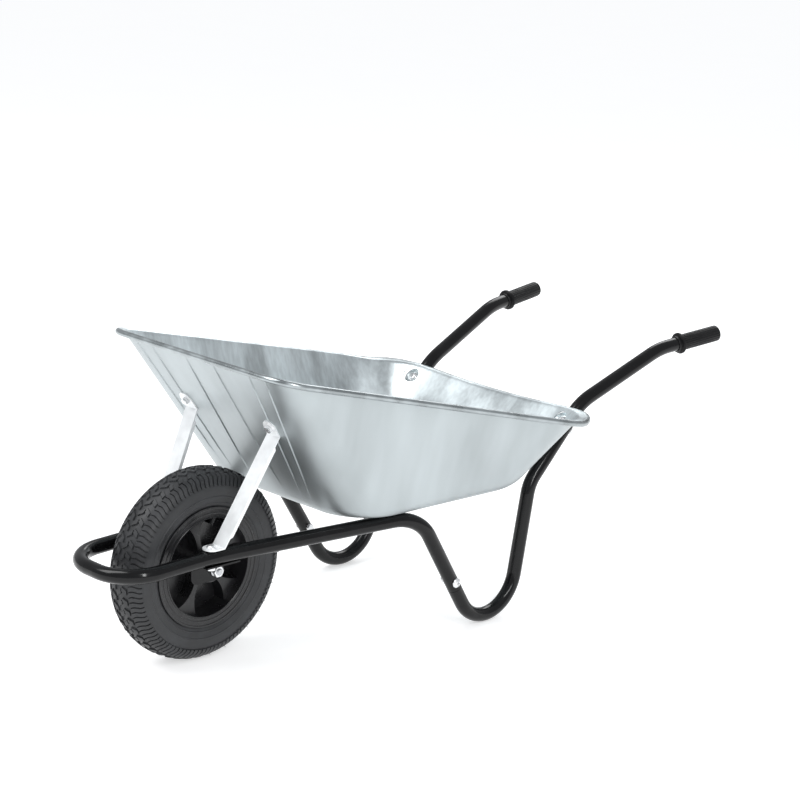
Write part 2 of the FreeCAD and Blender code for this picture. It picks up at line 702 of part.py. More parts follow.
def domed_bolts(label, spot, way, grip):
    """Domed cross-recess bolts: head on the spot, shank going back against the direction."""
    items = []
    for place, direction in sides_of(spot, way):
        body = doc.addObject("PartDesign::Body", f"{label}_one")
        radius, head, tall = cell("bolt_radius"), cell("head_radius"), cell("head_height")
        points = [(0, -as_size(grip)), (radius, -as_size(grip)), (radius, 0), (head, 0),
                  (head, tall * 0.35), (head * 0.45, tall), (0, tall)]
        turned(body, points, {4: -(head * 0.95)}, PLANE_XZ, "V_Axis", f"{label}_turning")
        slot = sketch_on(body, "XY_Plane", f"{label}_recess_outline")
        slot.AttachmentOffset = Placement(Vector(0, 0, size("head_height")), Rotation())
        arm, half = cell("head_radius") * 0.42, cell("head_radius") * 0.09
        outline(slot, [(arm, -half), (arm, half), (half, half), (half, arm), (-half, arm), (-half, half),
                       (-arm, half), (-arm, -half), (-half, -half), (-half, -arm), (half, -arm), (half, -half)])
        recess = body.newObject("PartDesign::Pocket", f"{label}_recess")
        recess.Profile = slot
        bind(recess, "Length", cell("head_height") * 0.6)
        body.Tip = recess
        aim(body, place, direction)
        items.append(body)
    group(label, items)


def hex_nuts(label, spot, way, radius="nut_radius", height="nut_height", bore="bolt_radius"):
    """Hexagon nuts standing on the spot."""
    items = []
    for place, direction in sides_of(spot, way):
        body = doc.addObject("PartDesign::Body", f"{label}_one")
        outer, tall, hole = cell(radius), cell(height), cell(bore)
        points = [(hole, 0), (outer * 0.9, 0), (outer, outer * 0.06), (outer, tall - outer * 0.06),
                  (outer * 0.9, tall), (hole, tall)]
        turned(body, points, None, PLANE_XZ, "V_Axis", f"{label}_turning")
        flats = sketch_on(body, "XY_Plane", f"{label}_flats_outline")
        apothem = outer * math.cos(math.pi / 6)
        wide = outer * 2
        hexagon(flats, apothem)
        outline(flats, [(wide, -wide), (wide, wide), (-wide, wide), (-wide, -wide)])
        cut = body.newObject("PartDesign::Pocket", f"{label}_flats")
        cut.Profile = flats
        cut.Reversed = True
        bind(cut, "Length", tall)
        body.Tip = cut
        aim(body, place, direction)
        items.append(body)
    group(label, items)


def hexagon(sketch, apothem):
    corner = apothem / math.cos(math.pi / 6)
    turns = [k * math.pi / 3 for k in range(6)]
    outline(sketch, [(corner * math.cos(turn), corner * math.sin(turn)) for turn in turns])


def washers(label, spot, way, radius="washer_radius", bore="bolt_radius"):
    items = []
    for place, direction in sides_of(spot, way):
        ring = doc.addObject("Part::Cylinder", f"{label}_disc")
        hole = doc.addObject("Part::Cylinder", f"{label}_hole")
        bind(ring, "Radius", cell(radius))
        bind(hole, "Radius", cell(bore) + cell("seat_gap"))
        bind(ring, "Height", cell("washer_plate"))
        bind(hole, "Height", cell("washer_plate"))
        washer = doc.addObject("Part::Cut", f"{label}_one")
        washer.Base = ring
        washer.Tool = hole
        aim(washer, place, direction)
        items.append(washer)
    group(label, items)


def fasteners():
    gap = size("seat_gap")
    plate = size("washer_plate")
    # Stay feet: down through stay, rail and axle bracket.
    over = Vector(STAY_FOOT.x, STAY_FOOT.y, STAY_REST + size("stay_sheet") + gap)
    under = STAY_FOOT - UPWARD * (TUBE + 2 * gap + size("bracket_plate"))
    shank = over.z - under.z + size("nut_height") + gap
    domed_bolts("stay_foot_bolts", over, UPWARD, shank)
    hex_nuts("stay_foot_nuts", under, UPWARD * -1)
    # Stay tops: from inside the pan, nut outside on the stay.
    inside = STAY_TOP - FRONT_NORMAL * (size("sheet") + plate + 2 * gap)
    outside = STAY_TOP + FRONT_NORMAL * (size("stay_sheet") + 2 * gap)
    shank = size("sheet") + plate + size("stay_sheet") + size("nut_height") + 6 * gap
    domed_bolts("stay_pan_bolts", inside, FRONT_NORMAL * -1, shank)
    washers("stay_pan_washers", STAY_TOP - FRONT_NORMAL * (size("sheet") + gap), FRONT_NORMAL * -1)
    hex_nuts("stay_pan_nuts", outside, FRONT_NORMAL)
    # Leg joints: head outside, nut inside.
    outer = SPOTS["bolt"] + ALONG_Y * (TUBE + 4 * gap)
    inner = SPOTS["bolt"] - ALONG_Y * (TUBE + 4 * gap)
    domed_bolts("leg_joint_bolts", outer, ALONG_Y, 2 * TUBE + size("nut_height") + 12 * gap)
    hex_nuts("leg_joint_nuts", inner, ALONG_Y * -1)
    # Rear of the pan: head and washer in the pan, nut behind the handle tube.
    face = REAR_BOLT + REAR_NORMAL * (TUBE + 2 * gap + size("sheet"))
    domed_bolts("rear_pan_bolts", face + REAR_NORMAL * (plate + gap), REAR_NORMAL,
                2 * TUBE + size("sheet") + plate + size("nut_height") + 8 * gap)
    washers("rear_pan_washers", face, REAR_NORMAL)
    hex_nuts("rear_pan_nuts", REAR_BOLT - REAR_NORMAL * (TUBE + gap), REAR_NORMAL * -1)


# ---------------------------------------------------------------- grips


def grip(label, side):
    """A ribbed rubber sleeve with a closed end and a round collar, drawn along its own Z."""
    body = body_named(label)
    bore = cell("tube_radius")
    outer = bore + cell("grip_wall")
    length, wall = cell("grip_length"), cell("grip_end_wall")
    neck, collar = cell("grip_neck"), cell("grip_collar")
    points = [(0, 0), (outer - 2, 0), (outer, 2), (outer, length - neck - collar),
              (cell("grip_collar_radius"), length - neck - collar),
              (cell("grip_collar_radius"), length - neck), (outer, length - neck), (outer - 0.8, length), (bore, length), (bore, wall), (0, wall)]
    turned(body, points, None, PLANE_XZ, "V_Axis", "sleeve")
    way = SPOTS["wrist"] - SPOTS["grip"]
    way.y *= side
    spot = Vector(SPOTS["grip"].x, side * SPOTS["grip"].y, SPOTS["grip"].z)
    aim(body, spot, way)


# ---------------------------------------------------------------- axle


def axle_parts():
    radius = cell("axle_radius")
    gap = cell("seat_gap")
    inside, plate = cell("bracket_inside"), cell("bracket_plate")
    end = inside + plate + gap + cell("washer_plate") + cell("axle_nut_height") + cell("axle_overhang")
    axle = body_named("axle")
    turned(axle, [(-end, 0), (end, 0), (end, radius - 1), (end - 1, radius), (-end + 1, radius),
                  (-end, radius - 1)])
    carry(axle, 0, 0, cell("wheel_radius"))
    spot = Vector(0, size("bracket_inside") + size("bracket_plate") + size("seat_gap"), size("wheel_radius"))
    washers("axle_washers", spot, ALONG_Y, "axle_nut_radius", "axle_radius")
    hex_nuts("axle_nuts", spot + ALONG_Y * (size("washer_plate") + size("seat_gap")), ALONG_Y,
             "axle_nut_radius", "axle_nut_height", "axle_radius")
    start = cell("hub_half_length") + cell("bush_flange") + cell("side_gap")
    items = []
    for label, side in SIDES:
        spacer = doc.addObject("PartDesign::Body", f"axle_spacer_{label}_one")
        near, far = start * side, (inside - gap) * side
        turned(spacer, [(near, radius + gap), (far, radius + gap), (far, cell("spacer_radius")),
                        (near, cell("spacer_radius"))], None, PLANE_YZ, "H_Axis", f"spacer_{label}")
        carry(spacer, 0, 0, cell("wheel_radius"))
        items.append(spacer)
    group("axle_spacers", items)


def axle_bracket(label, side):
    """A folded plate: a flat under the rail and a hanging plate that holds the axle."""
    body = body_named(label)
    under = STAY_FOOT.z - TUBE - size("seat_gap")
    plate = cell("bracket_plate")
    near = cell("bracket_inside")
    far = STAY_FOOT.y + TUBE * 0.9
    sketch = sketch_on(body, PLANE_YZ, f"{label}_outline")
    low = cell("wheel_radius") - cell("bracket_below")
    points = [(near, low), (near + plate, low), (near + plate, under - plate.value),
              (far, under - plate.value), (far, under), (near, under)]
    outline(sketch, [(as_size(u) * side, v) for u, v in points])
    pad = body.newObject("PartDesign::Pad", f"{label}_plate")
    pad.Profile = sketch
    pad.SideType = "Two sides"
    bind(pad, "Length", cell("bracket_front"))
    bind(pad, "Length2", cell("bracket_rear"))
    body.Tip = pad
    doc.recompute()
    fold = [name for name, edge in edges_of(pad)
            if abs(edge.CenterOfMass.z - under) < 0.01 and abs(abs(edge.CenterOfMass.y) - near.value) < 0.01]
    bend = body.newObject("PartDesign::Fillet", f"{label}_fold")
    bend.Base = (pad, fold)
    bind(bend, "Radius", cell("bracket_fold"))
    body.Tip = bend
    doc.recompute()
    corners = [name for name, edge in edges_of(bend)
               if abs(edge.CenterOfMass.z - low.value) < 0.01 and edge.Length < plate.value + 0.01]
    ends = body.newObject("PartDesign::Fillet", f"{label}_ends")
    ends.Base = (bend, corners)
    bind(ends, "Radius", cell("bracket_below") - 4)
    body.Tip = ends
    axle_hole = sketch_on(body, PLANE_XZ, f"{label}_axle_hole_outline")
    circle(axle_hole, 0, cell("wheel_radius"), cell("axle_radius") + cell("seat_gap"))
    drill(body, axle_hole, f"{label}_axle_hole")
    bolt_hole = sketch_on(body, "XY_Plane", f"{label}_bolt_hole_outline")
    circle(bolt_hole, STAY_FOOT.x, side * STAY_FOOT.y, cell("bolt_radius") + cell("bolt_gap"))
    drill(body, bolt_hole, f"{label}_bolt_hole")
    carry(body)


def edges_of(feature):
    return [(f"Edge{row}", edge) for row, edge in enumerate(feature.Shape.Edges, start=1)]


def circle(sketch, u, v, radius):
    u, v, radius = as_size(u), as_size(v), as_size(radius)
    row = sketch.addGeometry(Part.Circle(Vector(u.value, v.value, 0), Vector(0, 0, 1), radius.value), False)
    mark = sketch.addConstraint(Sketcher.Constraint("Radius", row, radius.value))
    bind(sketch, f"Constraints[{mark}]", radius)
    pin_point(sketch, row, 3, u, v)


def drill(body, sketch, name):
    hole = body.newObject("PartDesign::Pocket", name)
    hole.Profile = sketch
    hole.Type = "ThroughAll"
    hole.Midplane = True
    body.Tip = hole
    return hole


# ---------------------------------------------------------------- wheel


def wheel_hub():
    """Rim, blades, web and drum in one moulding; the blades are curved leaves, wide at the rim."""
    body = body_named("wheel_hub")
    bead, half, waist = cell("bead_radius"), cell("bead_half_width"), cell("rim_waist_radius")
    lip = cell("rim_flange")
    inner, edge = cell("rim_inner_radius"), cell("bead_half_width") + 3
    rim = [(-edge, inner), (edge, inner), (edge, bead + lip), (half, bead + lip), (half, bead),
           (half - 9, bead), (half - 15, waist), (-half + 15, waist), (-half + 9, bead),
           (-half, bead), (-half, bead + lip), (-edge, bead + lip)]
    turned(body, rim, None, PLANE_YZ, "H_Axis", "rim")
    length, bore = cell("hub_half_length"), cell("bush_radius")
    drum = cell("hub_radius")
    turned(body, [(-length, bore), (length, bore), (length, drum - 3), (length - 6, drum),
                  (-length + 6, drum), (-length, drum - 3)], None, PLANE_YZ, "H_Axis", "drum")
    blade = sketch_on(body, PLANE_XZ, "blade_outline")
    root, tip = cell("hub_radius") - 4, cell("rim_inner_radius") + 3
    corners = [polar(root, -16), polar(tip, -13), polar(tip, 19), polar(root, 24)]
    outline(blade, corners, {0: tip * 0.75, 1: -tip, 2: tip * 0.62, 3: root * 3})
    leaf = body.newObject("PartDesign::Pad", "blade")
    leaf.Profile = blade
    leaf.Midplane = True
    bind(leaf, "Length", cell("blade_half_depth") * 2)
    body.Tip = leaf
    doc.recompute()
    ring = body.newObject("PartDesign::PolarPattern", "blades")
    ring.Originals = [leaf]
    ring.Axis = (blade, ["N_Axis"])
    ring.Angle = 360
    bind(ring, "Occurrences", cell("blade_count"))
    body.Tip = ring
    doc.recompute()
    near, far = -cell("web_offset"), -(cell("web_offset") + cell("web_plate"))
    turned(body, [(near, root), (far, root), (far, tip), (near, tip)], None, PLANE_YZ, "H_Axis", "web")
    hole = body.newObject("PartDesign::SubtractiveCylinder", "valve_hole")
    bind(hole, "Radius", cell("valve_radius") + cell("bolt_gap"))
    bind(hole, "Height", bead - inner)
    hole.Placement = Placement(valve_spot("rim_inner_radius", -1), Rotation(UPWARD, VALVE_WAY))
    body.Tip = hole
    carry(body, 0, 0, cell("wheel_radius"))


def valve_spot(alias, more=0.0):
    """A point on the valve's line, from the axle's middle."""
    return VALVE_WAY * (size(alias) + more)


def polar(radius, degrees):
    turn = math.radians(BLADE_TURN + degrees)
    return radius * math.cos(turn), radius * math.sin(turn)


BLADE_TURN = 75.0
VALVE_TURN = math.radians(size("valve_angle"))
VALVE_WAY = Vector(math.cos(VALVE_TURN), 0, math.sin(VALVE_TURN))


def tyre():
    body = body_named("tyre")
    ring, width, top = cell("tyre_ring"), cell("tyre_half_width"), cell("wheel_radius")
    bead, seat, wall = cell("bead_radius"), cell("bead_half_width"), cell("tyre_wall")
    gap = cell("seat_gap")
    shoulder = width * 0.72
    outer = [(-seat + gap, bead + gap), (-width, ring), (-shoulder, top - 5), (shoulder, top - 5),
             (width, ring), (seat - gap, bead + gap)]
    low = bead + gap
    inner = [(seat - 8, low), (width - wall, ring), (shoulder - wall, top - 11), (-shoulder + wall, top - 11),
             (-width + wall, ring), (-seat + 8, low)]
    arcs = {0: 60, 1: 44, 2: 86, 3: 44, 4: 60, 6: -60, 7: -40, 8: -80, 9: -40, 10: -60}
    turned(body, outer + inner, arcs, PLANE_YZ, "H_Axis", "carcass")
    carry(body, 0, 0, cell("wheel_radius"))


def inner_tube():
    """A hollow rubber ring inside the tyre."""
    outside = doc.addObject("Part::Torus", "inner_tube_outside")
    inside = doc.addObject("Part::Torus", "inner_tube_inside")
    for ring, radius in ((outside, cell("inner_tube_radius")),
                         (inside, cell("inner_tube_radius") - cell("inner_tube_wall"))):
        bind(ring, "Radius1", cell("tyre_ring"))
        bind(ring, "Radius2", radius)
    tube = doc.addObject("Part::Cut", "inner_tube")
    tube.Base = outside
    tube.Tool = inside
    aim(keep(tube, "inner_tube"), Vector(0, 0, size("wheel_radius")), ALONG_Y)


def valve():
    """A rubber stem from the inner tube towards the axle, and the cap screwed on its end."""
    gap = cell("seat_gap")
    stem = doc.addObject("Part::Cylinder", "valve_stem")
    bind(stem, "Radius", cell("valve_radius"))
    end = cell("valve_reach") + cell("valve_cap_wall") + gap
    bind(stem, "Height", cell("tyre_ring") - cell("inner_tube_radius") - gap - end)
    wheel = Vector(0, 0, size("wheel_radius"))
    aim(keep(stem, "valve_stem"), wheel + VALVE_WAY * end.value, VALVE_WAY)
    cap = doc.addObject("Part::Cylinder", "valve_cap_outside")
    bore = doc.addObject("Part::Cylinder", "valve_cap_bore")
    bind(cap, "Radius", cell("valve_radius") + gap + cell("valve_cap_wall"))
    bind(bore, "Radius", cell("valve_radius") + gap)
    bind(cap, "Height", cell("valve_cap_length"))
    bind(bore, "Height", cell("valve_cap_length"))
    bind(bore, ".Placement.Base.z", cell("valve_cap_wall"))
    shell = doc.addObject("Part::Cut", "valve_cap")
    shell.Base = cap
    shell.Tool = bore
    aim(keep(shell, "valve_cap"), wheel + VALVE_WAY * size("valve_reach"), VALVE_WAY)


def simple_ring(label, points, arcs=None):
    body = body_named(label)
    turned(body, points, arcs, PLANE_YZ, "H_Axis", f"{label}_turning")
    carry(body, 0, 0, cell("wheel_radius"))
    return body


def wheel_parts():
    bore = cell("axle_radius") + cell("running_gap")
    hub, bush = cell("hub_half_length"), cell("bush_length")
    for name, side in SIDES:
        face = hub * side
        points = [(face - bush * side, bore), (face + cell("bush_flange") * side, bore),
                  (face + cell("bush_flange") * side, cell("bush_flange_radius")),
                  (face, cell("bush_flange_radius")), (face, cell("bush_radius")),
                  (face - bush * side, cell("bush_radius"))]
        simple_ring(f"hub_bush_{name}", points)


fasteners()
nose_frame()
for tag, hand in SIDES:
    leg_handle(f"leg_handle_{tag}", hand)
    grip(f"grip_{tag}", hand)
    front_stay(f"front_stay_{tag}", hand)
    axle_bracket(f"axle_bracket_{tag}", hand)
pan()
axle_parts()
wheel_hub()
wheel_parts()
tyre()
inner_tube()
valve()
doc.recompute()

for item in doc.Objects:
    if "Invalid" in item.State or "Error" in item.State:
        raise RuntimeError(f"{item.Label}: {item.State}")
os.makedirs("parts", exist_ok=True)
for label, item in NODES.items():
    if item.Shape.isNull() or not item.Shape.isValid() or not item.Shape.Solids:
        raise RuntimeError(f"{label} has no valid solid")
    item.Shape.exportStep(f"parts/{label}.step")
    print(label, len(item.Shape.Solids), round(item.Shape.Volume / 1000, 1))
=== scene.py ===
"""A builder's wheelbarrow: looks for the pan, tyre, grips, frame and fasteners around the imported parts."""

import json
import math

import bmesh
import bpy
from mathutils import Matrix, Vector


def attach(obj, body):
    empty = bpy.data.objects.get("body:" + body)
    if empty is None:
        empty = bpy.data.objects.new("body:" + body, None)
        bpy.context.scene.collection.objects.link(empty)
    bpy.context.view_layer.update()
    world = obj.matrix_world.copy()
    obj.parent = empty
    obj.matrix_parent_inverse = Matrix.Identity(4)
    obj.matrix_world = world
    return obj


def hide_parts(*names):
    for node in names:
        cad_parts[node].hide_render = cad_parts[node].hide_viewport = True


bl_info = {
    "name": "Builder's wheelbarrow",
    "version": (1, 0, 0),
    "blender": (4, 5, 0),
    "location": "View3D > Sidebar > Barrow",
    "description": "Builds the pan, tyre, grips and finishes of a wheelbarrow around its frame",
    "category": "Add Mesh",
}

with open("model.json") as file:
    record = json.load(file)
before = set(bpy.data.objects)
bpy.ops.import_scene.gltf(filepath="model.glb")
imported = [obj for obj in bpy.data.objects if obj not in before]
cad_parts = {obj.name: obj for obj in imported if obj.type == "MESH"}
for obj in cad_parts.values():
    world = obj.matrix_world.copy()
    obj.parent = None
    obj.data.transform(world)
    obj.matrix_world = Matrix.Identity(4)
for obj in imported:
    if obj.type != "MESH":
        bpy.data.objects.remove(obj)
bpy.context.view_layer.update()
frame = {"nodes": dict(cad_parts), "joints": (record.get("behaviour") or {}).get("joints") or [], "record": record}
NODES = frame["nodes"]
AXLE = Vector(frame["joints"][0]["pos_m"])
MM = 0.001
RIBS = ((0.204, 0.34), (0.73, 0.755), (0.965, 0.965))
BODY = "barrow"
WHEEL = "wheel"
OBJECT_COORDINATES = 3
MIXED_COLOUR = 2
FLOOR_HEIGHT = 257.0
RIM_HEIGHT, RIM_SLOPE = 549.6, 0.2456
REAR_BOLT = (-736.6, 202.2, 348.3)
GRIP_END = (-1124.0, 244.2, 484.4)
WRIST = (-971.0, 226.5, 470.4)
HANDLE_UNDER_RIM = ((-705.0, 201.5, 315.0), (-800.0, 205.0, 415.7))
CROWN_RADIUS = 171.0


class BarrowSizes(bpy.types.PropertyGroup):
    """Sizes that shape the pieces."""

    sheet: bpy.props.FloatProperty(
        name="Sheet", description="Thickness of the pan's sheet",
        default=0.0016, unit="LENGTH",
    )
    rim_bead: bpy.props.FloatProperty(
        name="Rim bead", description="Radius of the rolled rim",
        default=0.0042, unit="LENGTH",
    )
    rib_height: bpy.props.FloatProperty(
        name="Rib height", description="Height of the pressed ribs on the front wall",
        default=0.0016, unit="LENGTH",
    )
    tread_pitches: bpy.props.IntProperty(
        name="Tread pitches", description="Repeats of the tread around the tyre",
        default=52, min=12, max=60,
    )
    tread_depth: bpy.props.FloatProperty(
        name="Tread depth", description="Height of the tyre's lugs",
        default=0.0029, unit="LENGTH",
    )
    grip_radius: bpy.props.FloatProperty(
        name="Grip radius", description="Outside radius of a grip's sleeve",
        default=0.01525, unit="LENGTH",
    )


class BarrowColours(bpy.types.PropertyGroup):
    """Colours of the finishes."""

    zinc: bpy.props.FloatVectorProperty(
        name="Galvanised sheet", description="Colour of the pan", subtype="COLOR", size=3,
        default=(0.54, 0.590, 0.605),
    )
    coat: bpy.props.FloatVectorProperty(
        name="Frame coat", description="Colour of the tubes", subtype="COLOR", size=3,
        default=(0.0040, 0.0040, 0.0045),
    )
    tyre: bpy.props.FloatVectorProperty(
        name="Tyre", description="Colour of the tyre's rubber", subtype="COLOR", size=3,
        default=(0.026, 0.027, 0.029),
    )
    hub: bpy.props.FloatVectorProperty(
        name="Wheel", description="Colour of the moulded wheel", subtype="COLOR", size=3,
        default=(0.008, 0.008, 0.009),
    )


# ------------------------------------------------------------------ places


def at(x, y, z, side=1):
    """A place given in millimetres from the axle, with z from the ground; side -1 is its mirror."""
    return Vector((AXLE.x + x * MM, y * side * MM, z * MM))


def blend(a, b, part):
    return a + (b - a) * part


def smooth(low, high, value):
    part = min(1.0, max(0.0, (value - low) / (high - low)))
    return part * part * (3 - 2 * part)


# ------------------------------------------------------------------ mesh steps


def only(piece):
    """Selects one object and makes it active."""
    bpy.ops.object.select_all(action="DESELECT")
    piece.select_set(True)
    bpy.context.view_layer.objects.active = piece


def loop_start(name, points):
    """A ring of points, left in edit mode with all of it selected."""
    bpy.ops.object.select_all(action="DESELECT")
    bpy.ops.mesh.primitive_circle_add(vertices=len(points), radius=1.0, location=(0, 0, 0))
    piece = bpy.context.object
    piece.name = name
    piece.data.name = name
    for vertex, point in zip(piece.data.vertices, points):
        vertex.co = point
    bpy.ops.object.mode_set(mode="EDIT")
    bpy.ops.mesh.select_all(action="SELECT")
    return piece


def loop_next(piece, before, points):
    """Extrudes the selected ring and puts the new ring on its points."""
    bpy.ops.mesh.extrude_edges_move()
    mesh = bmesh.from_edit_mesh(piece.data)
    place = {tuple(round(c, 6) for c in point): index for index, point in enumerate(before)}
    for vertex in mesh.verts:
        if vertex.select:
            vertex.co = points[place[tuple(round(c, 6) for c in vertex.co)]]
    bmesh.update_edit_mesh(piece.data)


def loops(name, rings, cap_first=False, cap_last=False, closed=False):
    """A surface through a row of rings."""
    rings = [[Vector(point) for point in ring] for ring in rings]
    piece = loop_start(name, rings[0])
    if cap_first:
        bpy.ops.mesh.edge_face_add()
    for before, ring in zip(rings, rings[1:]):
        loop_next(piece, before, ring)
    if cap_last:
        bpy.ops.mesh.edge_face_add()
    bpy.ops.mesh.select_all(action="SELECT")
    if closed:
        bpy.ops.mesh.remove_doubles(threshold=0.000001)
    bpy.ops.mesh.normals_make_consistent(inside=False)
    bpy.ops.object.mode_set(mode="OBJECT")
    return piece


def modifier(piece, kind, **settings):
    """Adds a modifier, sets it and applies it."""
    only(piece)
    item = piece.modifiers.new(kind.lower(), kind)
    for key, value in settings.items():
        setattr(item, key, value)
    bpy.ops.object.modifier_apply(modifier=item.name)


def rounded(piece, degrees=35):
    only(piece)
    bpy.ops.object.shade_smooth_by_angle(angle=math.radians(degrees))


def copy_of(piece, name, matrix):
    """A copy with its own mesh, moved by a matrix."""
    twin = piece.copy()
    twin.data = piece.data.copy()
    twin.name = name
    twin.data.name = name
    twin.data.transform(matrix)
    bpy.context.scene.collection.objects.link(twin)
    return twin


def joined(name, pieces):
    bpy.ops.object.select_all(action="DESELECT")
    for piece in pieces:
        piece.select_set(True)
    bpy.context.view_layer.objects.active = pieces[0]
    bpy.ops.object.join()
    pieces[0].name = name
    return pieces[0]


def dress(piece, *paints):
    piece.data.materials.clear()
    for paint in paints:
        piece.data.materials.append(paint)


def turned(name, profile, steps, spot, way, closed=False):
    """A lathe shape: the profile's radii and heights around an axis through a spot."""
    turn = Vector((0, 0, 1)).rotation_difference(way).to_matrix()
    rings = []
    for radius, height in profile:
        ring = []
        for step in range(steps):
            angle = 2 * math.pi * step / steps
            ring.append(spot + turn @ Vector((radius * math.cos(angle), radius * math.sin(angle), height)))
        rings.append(ring)
    if closed:
        rings.append(rings[0])
    return loops(name, rings, cap_first=not closed, cap_last=not closed, closed=closed)


# ------------------------------------------------------------------ finishes


class Wire:
    """A node's output that Python arithmetic can be done with."""

    def __init__(self, paint, socket):
        self.paint = paint
        self.socket = socket

    def maths(self, operation, first, second):
        return self.paint.node("ShaderNodeMath", {"operation": operation}, {0: first, 1: second})

    def __add__(self, other):
        return self.maths("ADD", self, other)

    def __mul__(self, other):
        return self.maths("MULTIPLY", self, other)


class Paint:
    """A material with one Principled shader."""

    def __init__(self, name, **constants):
        self.material = bpy.data.materials.new(name)
        self.material.use_nodes = True
        self.tree = self.material.node_tree
        self.shader = self.tree.nodes["Principled BSDF"]
        for key, value in constants.items():
            self.shader.inputs[key.replace("_", " ")].default_value = value

    def node(self, kind, settings=None, sockets=None, output=0):
        item = self.tree.nodes.new(kind)
        for key, value in (settings or {}).items():
            setattr(item, key, value)
        for key, value in (sockets or {}).items():
            if isinstance(value, Wire):
                self.tree.links.new(value.socket, item.inputs[key])
            else:
                item.inputs[key].default_value = value
        return Wire(self, item.outputs[output])

    def feed(self, socket, wire):
        self.tree.links.new(wire.socket, self.shader.inputs[socket])

    def noise(self, scale, stretch=(1, 1, 1), detail=3.0):
        spot = self.node("ShaderNodeTexCoord", output=OBJECT_COORDINATES)
        place = self.node("ShaderNodeMapping", None, {"Vector": spot, "Scale": stretch})
        return self.node("ShaderNodeTexNoise", None, {"Vector": place, "Scale": scale, "Detail": detail})

    def range(self, value, low, high, start=0.35, end=0.65):
        return self.node("ShaderNodeMapRange", None,
                         {"Value": value, "From Min": start, "From Max": end, "To Min": low, "To Max": high})

    def mix(self, part, first, second):
        return self.node("ShaderNodeMix", {"data_type": "RGBA"}, {0: part, 6: first, 7: second},
                         output=MIXED_COLOUR)

    def bump(self, height, strength, distance):
        self.feed("Normal", self.node("ShaderNodeBump", None,
                                      {"Height": height, "Strength": strength, "Distance": distance}))


def shade(colour, factor):
    """A colour made darker or lighter, with its alpha."""
    return tuple(min(1.0, part * factor) for part in colour) + (1.0,)


def zinc_outside(colours):
    """Galvanised sheet, rolled finish with soft clouds and fine vertical drawing marks."""
    paint = Paint("galvanised_outside", Metallic=0.80)
    clouds = paint.noise(5.0, (1, 1, 0.8), 2.0)
    marks = paint.noise(60.0, (1, 1, 0.07), 3.0)
    drawn = paint.noise(15.0, (1, 1, 0.10), 2.0)
    part = (paint.range(clouds, 0.0, 1.0, 0.3, 0.7) * 0.5 + paint.range(drawn, 0.0, 1.0) * 0.35
            + marks * 0.15)
    paint.feed("Base Color", paint.mix(part, shade(colours.zinc, 0.64), shade(colours.zinc, 0.96)))
    paint.feed("Roughness", paint.range(clouds + drawn, 0.34, 0.46, 0.7, 1.3))
    paint.bump(drawn + marks * 0.1, 0.10, 0.002)
    return paint.material


def zinc_inside_with_painted_reflection(colours):
    """The same sheet on the inside, painted lighter than the outside as a lit copy, with bright and dark bands of
    painted reflection running up the walls and fine drawing marks.
    """
    paint = Paint("galvanised_inside_painted_reflection", Metallic=0.92)
    reflection_bands = paint.noise(14.0, (1, 1, 0.05), 1.5)
    fine = paint.noise(120.0, (1, 1, 0.03), 3.0)
    part = paint.range(reflection_bands, 0.0, 1.0, 0.38, 0.62) * 0.7 + paint.range(fine, 0.0, 1.0) * 0.3
    # painted reflection: the bands lift the sheet's colour to as much as 1.5 times, lighter than the outside, in
    # place of the lights' reflections on the inside walls
    paint.feed("Base Color", paint.mix(part, shade(colours.zinc, 0.80), shade(colours.zinc, 1.50)))
    paint.feed("Roughness", paint.range(reflection_bands, 0.30, 0.42, 0.35, 0.65))
    paint.bump(reflection_bands + fine * 0.15, 0.16, 0.003)
    return paint.material


def zinc_rim(colours):
    """The rolled rim: polished by the rolls and a little darker."""
    paint = Paint("galvanised_rim", Metallic=1.0)
    wear = paint.noise(30.0, detail=2.0)
    paint.feed("Base Color", paint.mix(paint.range(wear, 0.0, 1.0),
                                       shade(colours.zinc, 0.56), shade(colours.zinc, 0.80)))
    paint.feed("Roughness", paint.range(wear, 0.26, 0.36))
    paint.bump(wear, 0.03, 0.001)
    return paint.material


def frame_coat(colours):
    """Gloss black powder coat with a little orange peel."""
    paint = Paint("black_powder_coat", Specular_IOR_Level=0.30)
    peel = paint.noise(420.0, detail=2.0)
    wear = paint.noise(35.0, detail=4.0)
    paint.feed("Base Color", paint.mix(paint.range(wear, 0.0, 1.0, 0.45, 0.75),
                                       shade(colours.coat, 0.6), shade(colours.coat, 1.1)))
    paint.feed("Roughness", paint.range(wear, 0.15, 0.21))
    paint.bump(peel, 0.04, 0.0003)
    return paint.material


def bright_zinc(name, colour, rough_low, rough_high, metallic=0.75):
    """Zinc plate, slightly cloudy."""
    paint = Paint(name, Metallic=metallic)
    clouds = paint.noise(40.0, detail=2.0)
    paint.feed("Base Color", paint.mix(paint.range(clouds, 0.0, 1.0),
                                       shade(colour, 0.95), shade(colour, 1.05)))
    paint.feed("Roughness", paint.range(clouds, rough_low, rough_high))
    paint.bump(clouds, 0.05, 0.0004)
    return paint.material


def rubber(name, colour, rough=0.62, gloss=0.28):
    """Moulded rubber with a fine grain and a trace of dust."""
    paint = Paint(name, Specular_IOR_Level=gloss)
    grain = paint.noise(900.0, detail=3.0)
    dust = paint.noise(22.0, detail=5.0)
    paint.feed("Base Color", paint.mix(paint.range(dust, 0.0, 1.0, 0.42, 0.72),
                                       shade(colour, 0.9), shade(colour, 1.55)))
    paint.feed("Roughness", paint.range(dust, rough - 0.10, rough + 0.08))
    paint.bump(grain, 0.15, 0.0002)
    return paint.material


def plastic(name, colour, rough):
    """Moulded plastic, finely sparked."""
    paint = Paint(name)
    spark = paint.noise(700.0, detail=2.0)
    sink = paint.noise(18.0, detail=3.0)
    paint.feed("Base Color", paint.mix(paint.range(sink, 0.0, 1.0), shade(colour, 0.9), shade(colour, 1.25)))
    paint.feed("Roughness", paint.range(sink, rough - 0.05, rough + 0.07))
    paint.bump(spark, 0.10, 0.0002)
    return paint.material


# ------------------------------------------------------------------ the pan


